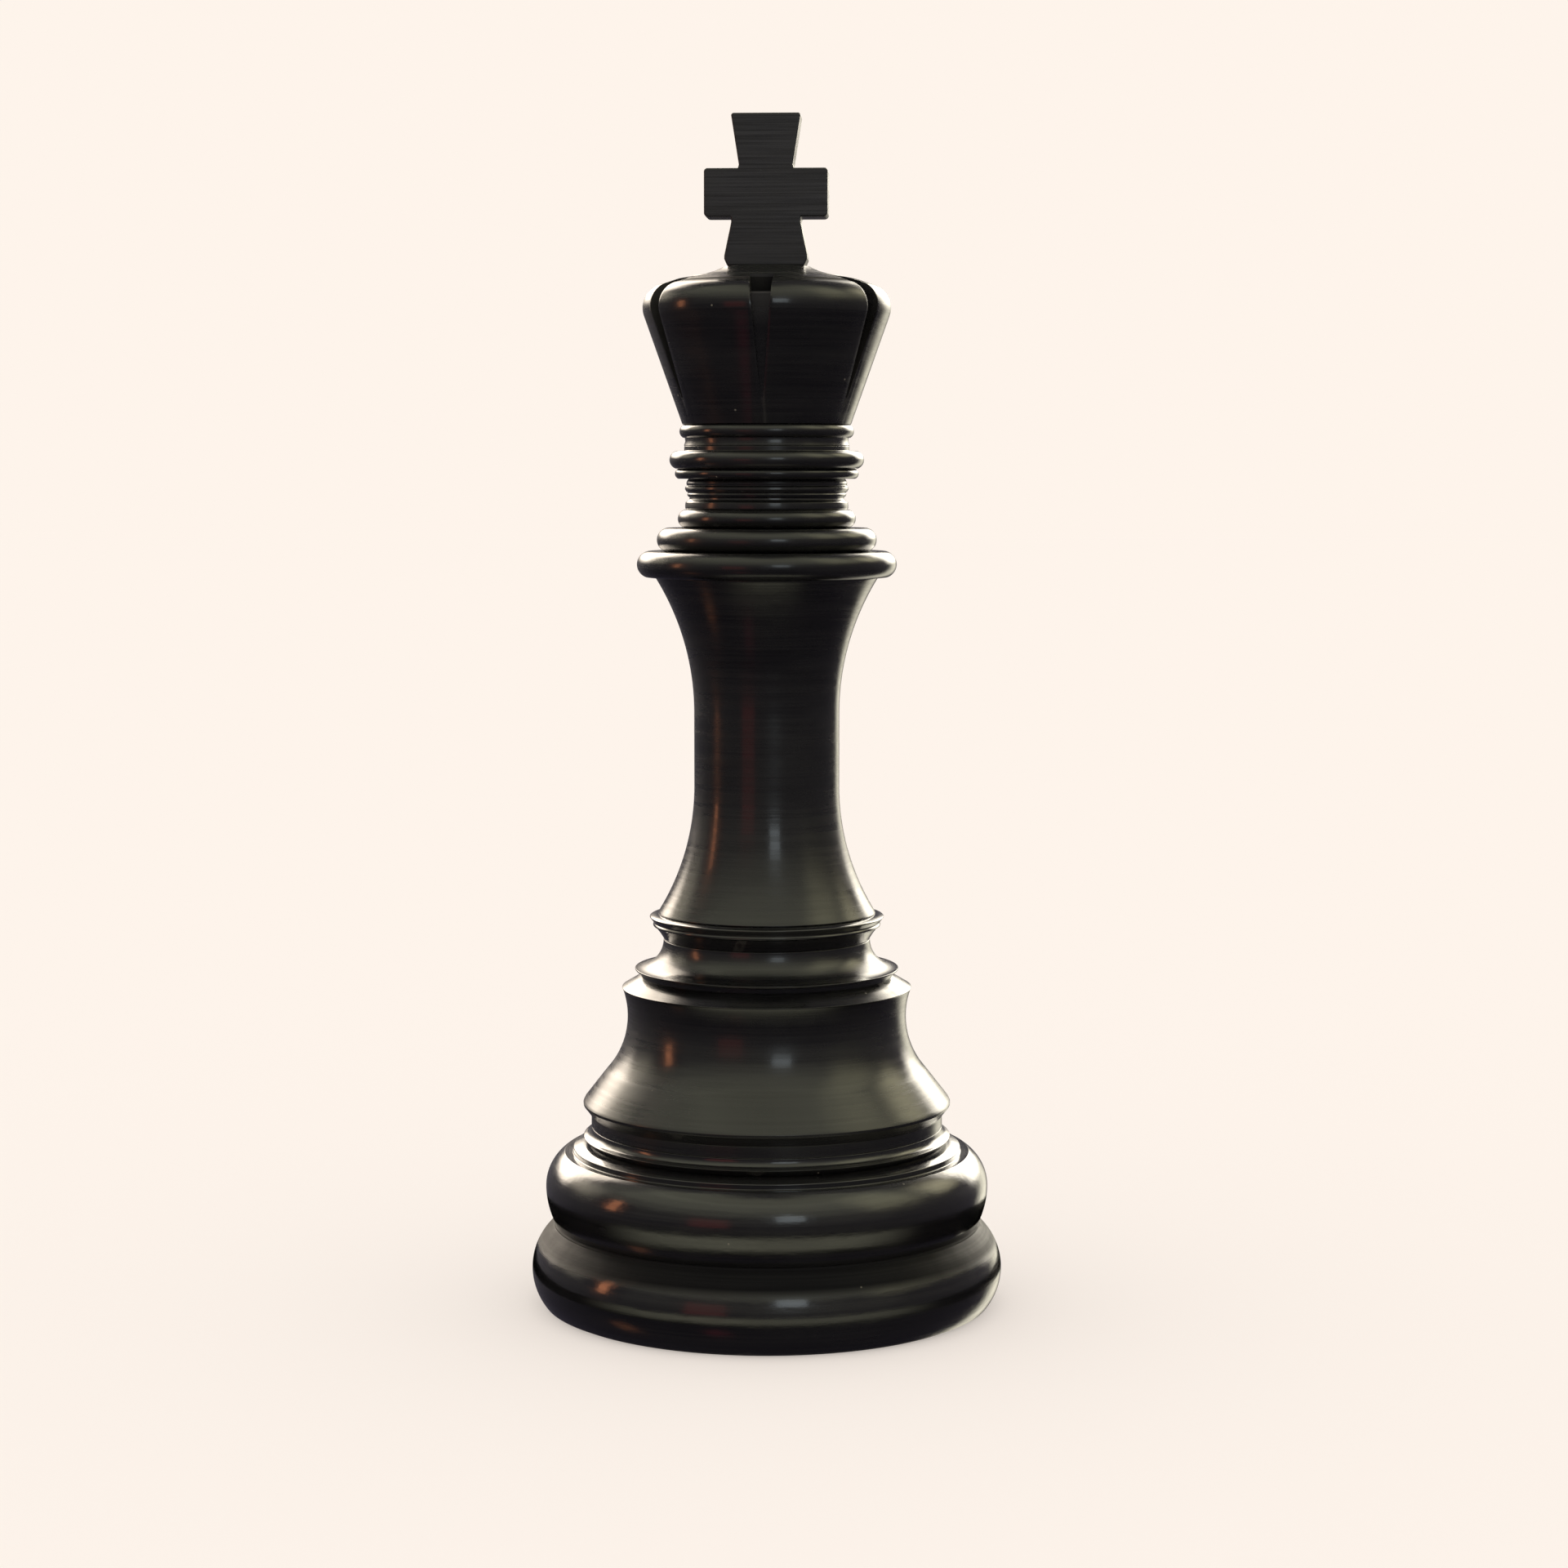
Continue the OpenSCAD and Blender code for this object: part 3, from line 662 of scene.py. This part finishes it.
def shoulder_disc():
    low, top = z_shoulder
    edge, flare = 42.6, 9.3
    profile = [(WAIST_BORE, low), (SHOULDER_SEAT, low), (SHOULDER_SEAT + 0.2, low + 1.6),
               (edge - 0.2, low + 2, 0.2)]
    profile += arc(edge, top, flare, 270, 180, 24)
    profile += [(WAIST_BORE, top)]
    return lathe("shoulder_disc", rounded(profile, 0.2))


def waist_collar():
    low, top = z_waist
    rim = 37.8
    profile = [(WAIST_BORE, low), (rim - 4.8, low), (rim - 3.4, low + 2.2), (rim - 2, low + 4),
               (rim - 1.2, low + 4.4, 0.4), (rim - 1.1, low + 4.8, 0.4), (rim - 1.3, low + 5.2),
               (rim - 1.5, low + 5.4, 0.3), (rim - 0.3, low + 6.9), (rim, low + 7.3, 0.3),
               (rim - 0.3, low + 7.6), (rim - 2.3, top, 0.3), (WAIST_BORE, top)]
    return lathe("waist_collar", rounded(profile))


# ---------------------------------------------------------------- stem and collars


def stem():
    low, top = z_stem
    neck, foot, head = 23.3, 77.5, 82.0  # narrowest radius, and the radii of the two sweeps
    wall, waist_depth, neck_depth = 17.5, 10.0, 9.4  # inner wall, and how deep the sleeves sit
    z_low, z_high = low + 41.3, top - 43.4
    start = 180 + math.degrees(math.asin((z_low - low) / foot))
    end = 180 - math.degrees(math.asin((top - z_high) / head))
    profile = arc(neck + foot, z_low, foot, start, 180, 40)
    profile += arc(neck + head, z_high, head, 180, end, 40)
    profile += [(NECK_BORE, top), (NECK_BORE, top - neck_depth), (wall, top - neck_depth),
                (wall, low + waist_depth), (WAIST_BORE, low + waist_depth), (WAIST_BORE, low)]
    return lathe("stem", rounded(profile))


def nose(name, r_out, low, top, up_to_middle, rad, extra=()):
    """A flat-sided ring with a round nose of radius `rad`, its middle `up_to_middle` above `low`."""
    middle = low + up_to_middle
    down = math.degrees(math.asin(max(-1.0, (low - middle) / rad)))
    up = math.degrees(math.asin(min(1.0, (top - middle) / rad)))
    profile = [(NECK_BORE, low)] + arc(r_out - rad, middle, rad, down, up, 26) + list(extra)
    profile += [(NECK_BORE, profile[-1][1])]
    return lathe(name, rounded(profile, 0.25))


def neck_spool():
    low, top = z_neck
    r = 26.0
    # how far each point of the beads stands out from r, and its height
    beads = [(-0.3, 0), (0, 0.5), (0.05, 1.4), (-0.1, 2.4), (-0.7, 2.8), (-1.3, 3.3), (-1.4, 3.9),
             (-0.8, 4.3), (-0.6, 4.9), (-0.9, 5.4), (-0.3, 5.8), (0.1, 6.5), (0, 7.2), (-0.5, 7.7),
             (-0.35, 8.4), (-0.5, 9)]
    profile = [(NECK_BORE, low)]
    profile += [(r + out, low + up, 0.22) for out, up in beads]
    profile += [(r - 1, top), (NECK_BORE, top)]
    return lathe("neck_spool", rounded(profile, 0.25, 14.0))


def neck_ring_wide():
    low, top = z_wide
    nose_top, hollow = low + 5.6, 26.3
    return nose("neck_ring_wide", 31.0, low, nose_top, 2.8, 2.95, [(hollow, nose_top), (hollow, top)])


def crown_bead():
    low, top = z_bead
    rad, middle, r_out, hollow_top = 2.3, low + 4.6, 27.8, low + 2.6
    down = math.degrees(math.asin((hollow_top - middle) / rad))
    up = math.degrees(math.asin((top - middle) / rad))
    profile = [(NECK_BORE, low), (26.4, low), (26, low + 1.4), (26.1, hollow_top)]
    profile += arc(r_out - rad, middle, rad, down, up, 22)
    profile += [(NECK_BORE, top)]
    return lathe("crown_bead", rounded(profile, 0.2))


# ---------------------------------------------------------------- crown and cross


CAP_R, LEDGE_DROP = 24.0, 8.4  # the cap's radius, and how far below the cross it sits on its ledge
SEAT_RISE = 7.4  # height of the neck sleeve's seat above the foot of the crown


def notch_cutters():
    """Six wedges with sloping floors, one mesh, the first pointing to -Y."""
    count, foot = 6, z_crown[0]
    narrow, wide, far = 0.45, 3.8, 60.0  # half widths at the bottom and at the rim, and the outer radius
    foot_r, lip_r, back_r = 29.4, 34.2, 26.2  # the sloping floor's two ends, and the pocket's back wall
    tip_z, lip_z, rim_z, over_z = foot + 8.2, z_cross - LIP_DROP, z_cross - 3, z_cross + 4
    lip_w = narrow + (wide - narrow) * (lip_z - tip_z) / (rim_z - tip_z)
    tip_r = foot_r + (lip_r - foot_r) * (tip_z - foot - SEAT_RISE) / (lip_z - foot - SEAT_RISE)
    rows = [(tip_z, narrow, tip_r), (lip_z, lip_w, lip_r), (lip_z, lip_w, back_r), (rim_z, wide, back_r),
            (over_z, wide, back_r)]
    verts, faces = [], []
    for k in range(count):
        turn = TAU * k / count
        c, s = math.cos(turn), math.sin(turn)
        base = len(verts)
        for z, w, inner in rows:
            corners = ((-w, -far), (w, -far), (w, -inner), (-w, -inner))
            verts += [(x * c - y * s, x * s + y * c, z) for x, y in corners]
        tip, lip, back, rim, over = ([base + 4 * i + j for j in range(4)] for i in range(len(rows)))
        faces += [tip[::-1], over]
        for low_row, high_row in ((tip, lip), (lip, rim), (rim, over)):
            faces.append([low_row[0], low_row[1], high_row[1], high_row[0]])
        for low_row, high_row in ((tip, lip), (lip, back), (back, rim), (rim, over)):
            faces.append([low_row[2], low_row[3], high_row[3], high_row[2]])
        faces += [[tip[1], tip[2], lip[2], lip[1]], [lip[1], lip[2], back[2], rim[2], rim[1]],
                  [rim[1], rim[2], over[2], over[1]]]
        faces += [[tip[3], tip[0], lip[0], lip[3]], [back[3], lip[3], lip[0], rim[0], rim[3]],
                  [rim[3], rim[0], over[0], over[3]]]
    # the outer corners of `back` are the lip's own, so no face uses them and they are left out
    used = sorted({i for face in faces for i in face})
    place = {old: new for new, old in enumerate(used)}
    mesh = bpy.data.meshes.new("notches")
    mesh.from_pydata([[c * MM for c in verts[i]] for i in used], [], [[place[i] for i in f] for f in faces])
    return mesh


def crown():
    foot, top = z_crown[0], z_cross
    floor, ledge, seat = foot + 12.2, top - LEDGE_DROP, foot + SEAT_RISE
    foot_r, widest, rad, inner = 26.85, 39.4, 7.6, 20.0
    profile = [(ROD_BORE, seat), (NECK_BORE, seat), (NECK_BORE, foot), (foot_r, foot)]
    profile += arc(widest - rad, top - 12.9, rad, -19, 78, 40)
    profile += [(29, top - 4), (CAP_R + SLIP, top - 3.1), (CAP_R + SLIP, ledge), (inner, ledge),
                (inner, floor), (ROD_BORE, floor)]
    return combine(lathe("crown", rounded(profile)), notch_cutters(), "DIFFERENCE", 0.22)


def crown_cap():
    low, top = z_cap
    ledge, core, axis_r = top - LEDGE_DROP, 12.0, 0.02  # axis_r keeps the two poles open by a hair
    side, depth = 5.3, 21.8  # half width and depth of the socket for the cross
    profile = [(0.0, low), (core - 1, low), (core, low + 1), (core, ledge), (CAP_R, ledge), (CAP_R, top - 3),
               (20, top - 2.3), (16.6, top - 1.3), (14.4, top - 0.3), (13.9, top), (0.0, top)]
    outline = [(max(r, axis_r), z) for r, z in rounded(profile, 0.25)]
    socket = block("socket", (-side, side), (-side, side), (top - depth, top + 5))
    return combine(lathe("crown_cap", outline), socket, "DIFFERENCE", 0.2)


def spigot(low, top, side, chamfer):
    """An upright bar of half width `side`, with chamfered corners and a small lead-in at its foot."""
    lead = 0.8
    corners, verts = 8, []
    for z, s in ((low, side - lead), (low + lead, side), (top, side)):
        t = s - chamfer
        ring = ((-t, -s), (t, -s), (s, -t), (s, t), (t, s), (-t, s), (-s, t), (-s, -t))
        verts += [(x, y, z) for x, y in ring]
    faces = [list(range(corners))[::-1], list(range(2 * corners, 3 * corners))]
    for row in (0, corners):
        for j in range(corners):
            after = (j + 1) % corners
            faces.append([row + j, row + after, row + corners + after, row + corners + j])
    return solid("spigot", verts, faces)


def cross_finial():
    low, top = z_cross, level("cross_finial")[1]
    foot, flare, half, thick = 12.1, 13.1, 19.5, 14.0
    bar, bar_top = low + 15.3, low + 15.3 + 15.2
    right = [(foot, low, 0.5), (flare, low + 2.2, 0.8), (flare, low + 3.4, 1.0), (10.9, bar - 1.6, 0.8),
             (11, bar, 0.3), (half, bar, 1.3), (half, bar_top, 1.0), (8.8, bar_top, 0.3),
             (8.5, bar_top + 1.2, 0.5), (11, top, 0.7)]
    left = [(-x, z, rad) for x, z, rad in reversed(right)]
    blade = plate("cross_finial", rounded(right + left, 0.5, 18.0), thick, 0.55)
    return even_normals(combine(blade, spigot(low - 21, low + 3, 5.0, 0.6), "UNION"))


# turned nodes that are drawn anew on the king: (mesh, finish)
pieces = {
    "base_plinth": (base_plinth(), BASE),
    "base_torus": (base_torus(), GLOSS),
    "step_disc": (step_disc(), GLOSS),
    "bell_body": (bell_body(), LATHED),
    "shoulder_disc": (shoulder_disc(), LATHED),
    "waist_collar": (waist_collar(), GLOSS),
    "stem": (stem(), LATHED),
    "collar_large": (nose("collar_large", 41.5, *z_large, 4, 4.3), NECK),
    "collar_medium": (nose("collar_medium", 35.1, *z_medium, 3.6, 3.9), NECK),
    "collar_small": (nose("collar_small", 28.4, *z_small, 2.9, 3.05), NECK),
    "neck_spool": (neck_spool(), NECK),
    "neck_ring_thin": (nose("neck_ring_thin", 29.3, *z_thin, 1.6, 1.7), NECK),
    "neck_ring_wide": (neck_ring_wide(), NECK),
    "crown_bead": (crown_bead(), NECK),
    "crown": (crown(), CROWN),
    "crown_cap": (crown_cap(), LATHED),
}
for node, (mesh, finish) in pieces.items():
    finish_piece(mesh, node, finish)
finish_piece(cross_finial(), "cross_finial", CROSS, "cross")

for node, finish in carried.items():
    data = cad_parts[node].data
    if not data.materials:
        data.materials.append(finish)
    for i in range(len(data.materials)):
        data.materials[i] = finish

# ---------------------------------------------------------------- floor

BACKDROP = (0.991, 0.905, 0.831)  # colour of the background, and of the floor where no shadow falls
FILL = 1.1  # strength of the even light on matt surfaces


def pale_floor():
    """A plain floor in the background's colour, which isn't seen in the gloss."""
    half, glow_share = 12.0, 0.45
    mesh = bpy.data.meshes.new("floor")
    corners = [(-half, -half, 0), (half, -half, 0), (half, half, 0), (-half, half, 0)]
    mesh.from_pydata(corners, [], [(0, 1, 2, 3)])
    floor = link("floor", mesh)
    paint = bpy.data.materials.new("floor_paint")
    paint.use_nodes = True
    nodes = Nodes(paint.node_tree)
    diffuse = nodes.add("ShaderNodeBsdfDiffuse")
    diffuse.inputs["Color"].default_value = rgba(*[c * (1 - glow_share) / FILL for c in BACKDROP])
    glow = nodes.add("ShaderNodeEmission")
    glow.inputs["Color"].default_value = rgba(*BACKDROP)
    glow.inputs["Strength"].default_value = glow_share
    both = nodes.add("ShaderNodeAddShader")
    nodes.plug(both.inputs[0], diffuse.outputs[0])
    nodes.plug(both.inputs[1], glow.outputs[0])
    nodes.plug(nodes.add("ShaderNodeOutputMaterial").inputs["Surface"], both.outputs[0])
    mesh.materials.append(paint)
    floor.visible_glossy = False


def ring_card():
    """A glowing ring on the floor in front of the king, seen only in the gloss of the base."""
    inner, outer, rings, sides, lift = 0.098, 0.175, 8, 64, 0.0004
    inner_soft, outer_soft = 0.016, 0.04  # widths of its soft edges
    full_y, dark_y, strength = -0.12, -0.04, 1.05  # it glows fully before full_y and not at all past dark_y
    verts, faces = [], []
    for ring in range(rings + 1):
        r = inner + (outer - inner) * ring / rings
        verts += [(r * math.cos(TAU * k / sides), r * math.sin(TAU * k / sides), lift) for k in range(sides)]
    for ring in range(rings):
        for k in range(sides):
            a, b = ring * sides + k, ring * sides + (k + 1) % sides
            faces.append((a, b, b + sides, a + sides))
    mesh = bpy.data.meshes.new("card")
    mesh.from_pydata(verts, [], faces)
    card = link("card", mesh)
    paint = bpy.data.materials.new("card_glow")
    paint.use_nodes = True
    nodes = Nodes(paint.node_tree)
    place = nodes.add("ShaderNodeTexCoord").outputs["Object"]
    length = nodes.add("ShaderNodeVectorMath", operation="LENGTH")
    nodes.plug(length.inputs[0], place)
    far = length.outputs["Value"]
    from_inside = nodes.remap(far, inner, inner + inner_soft, 0.0, 1.0)
    to_outside = nodes.remap(far, outer - outer_soft, outer, 1.0, 0.0)
    front = nodes.remap(nodes.axes(place)[1], full_y, dark_y, 1.0, 0.0)
    light = nodes.add("ShaderNodeEmission")
    light.inputs["Color"].default_value = rgba(1.0, 0.98, 0.72)
    ring_share = nodes.math("MULTIPLY", from_inside, to_outside)
    front_share = nodes.math("MULTIPLY", front, strength)
    nodes.plug(light.inputs["Strength"], nodes.math("MULTIPLY", ring_share, front_share))
    nodes.plug(nodes.add("ShaderNodeOutputMaterial").inputs["Surface"], light.outputs[0])
    mesh.materials.append(paint)
    card.visible_camera = card.visible_diffuse = card.visible_shadow = False


pale_floor()
ring_card()

# ---------------------------------------------------------------- light

world = bpy.data.worlds.new("studio")
bpy.context.scene.world = world
world.use_nodes = True
sky = Nodes(world.node_tree)
toward = sky.axes(sky.add("ShaderNodeTexCoord").outputs["Generated"])
bearing = sky.math("ARCTAN2", toward[0], sky.math("MULTIPLY", toward[1], -1.0))
rise = sky.math("ARCSINE", toward[2])


def span(value, low, high, soft):
    """1 between two angles in degrees, with edges that are 2 * `soft` degrees wide and centred on them."""
    low, high, soft = math.radians(low), math.radians(high), math.radians(soft)
    into = sky.remap(value, low - soft, low + soft, 0.0, 1.0)
    out_of = sky.remap(value, high - soft, high + soft, 1.0, 0.0)
    return sky.math("MULTIPLY", into, out_of)


def window(base, bearings, rises, colour, soft):
    """Adds a soft-edged window of light to the room that the gloss sees."""
    node = sky.add("ShaderNodeMix", data_type="RGBA", blend_type="ADD")
    share = sky.math("MULTIPLY", span(bearing, *bearings, soft), span(rise, *rises, soft))
    sky.plug(node.inputs[0], share)
    sky.plug(node.inputs[6], base)
    node.inputs[7].default_value = rgba(*colour)
    return node.outputs[2]


# bearings and rises in degrees, colour, softness. Bearing 0 is the -Y side, where the camera is,
# 90 is the +X side and 180 is behind the king.
WINDOWS = [
    ((-70, 70), (4, 34), (0.08, 0.078, 0.06), 6),
    ((-120, 120), (25, 60), (0.34, 0.34, 0.25), 5),
    ((-100, 100), (38, 60), (0.34, 0.34, 0.24), 4),
    ((-110, 110), (58, 80), (0.72, 0.72, 0.50), 8),
    ((-30, -18), (-45, -34), (0.28, 0.03, 0.05), 5),
    ((-88, -76), (-45, -34), (0.60, 0.22, 0.09), 4),
    ((62, 100), (24, 58), (0.9, 0.84, 0.50), 12),
    ((140, 172), (6, 34), (8.0, 7.4, 6.2), 7),
    ((146, 166), (-44, 8), (1.7, 1.6, 1.25), 8),
    ((110, 134), (22, 42), (2.5, 2.3, 1.45), 9),
    ((-168, -130), (10, 44), (8.5, 7.4, 6.1), 7),
    ((-130, -104), (14, 30), (1.5, 1.35, 1.0), 9),
]
room_low, room_high = rgba(0.045, 0.040, 0.055), rgba(0.14, 0.13, 0.14)
room = sky.mix(sky.remap(toward[2], -0.5, 0.1, 0.0, 1.0), room_low, room_high)
for bearings, rises, colour, soft in WINDOWS:
    room = window(room, bearings, rises, colour, soft)

path = sky.add("ShaderNodeLightPath")
mirror = sky.mix(path.outputs["Is Glossy Ray"], rgba(FILL, FILL, FILL), room)
shown = sky.mix(path.outputs["Is Camera Ray"], mirror, rgba(*BACKDROP))
back = sky.add("ShaderNodeBackground")
sky.plug(back.inputs["Color"], shown)
sky.plug(sky.add("ShaderNodeOutputWorld").inputs["Surface"], back.outputs[0])
world.cycles.sampling_method = "NONE"


def lamp(name, azimuth, elevation, distance, size, colour, watts):
    """A soft panel that faces the middle of the king and is seen only in the gloss."""
    light = bpy.data.lights.new(name, "AREA")
    light.shape, light.size, light.size_y = "RECTANGLE", *size
    light.color, light.energy = colour, watts
    holder = bpy.data.objects.new(name, light)
    bpy.context.scene.collection.objects.link(holder)
    a, e = math.radians(azimuth), math.radians(elevation)
    away = Vector((math.sin(a) * math.cos(e), -math.cos(a) * math.cos(e), math.sin(e)))
    aim = Vector((0, 0, 0.15))
    holder.location = aim + away * distance
    holder.rotation_euler = away.to_track_quat("Z", "Y").to_euler()
    holder.visible_camera = False
    holder.visible_diffuse = False


lamp("panel_warm", -82, 10, 1.4, (0.15, 0.50), (1.0, 0.36, 0.16), 1.0)
lamp("panel_red", -26, 2, 1.6, (0.55, 0.60), (1.0, 0.12, 0.10), 0.40)
lamp("panel_cool", 15, 17, 1.6, (0.40, 0.42), (0.80, 0.90, 0.95), 1.2)

# ---------------------------------------------------------------- camera

AZIMUTH, PITCH = math.radians(3.0), math.radians(5.43)
AWAY, HIGH = 1.060, 0.2696

camera_data = bpy.data.cameras.new("camera")
camera_data.lens, camera_data.sensor_width, camera_data.shift_x = 76.0, 36.0, 0.011
camera_data.clip_start, camera_data.clip_end = 0.01, 100.0
camera = bpy.data.objects.new("camera", camera_data)
camera.location = (AWAY * math.sin(AZIMUTH), -AWAY * math.cos(AZIMUTH), HIGH)
camera.rotation_euler = (math.pi / 2 - PITCH, 0.0, AZIMUTH)
bpy.context.scene.collection.objects.link(camera)
bpy.context.scene.camera = camera
bpy.context.scene.view_settings.view_transform = "Standard"
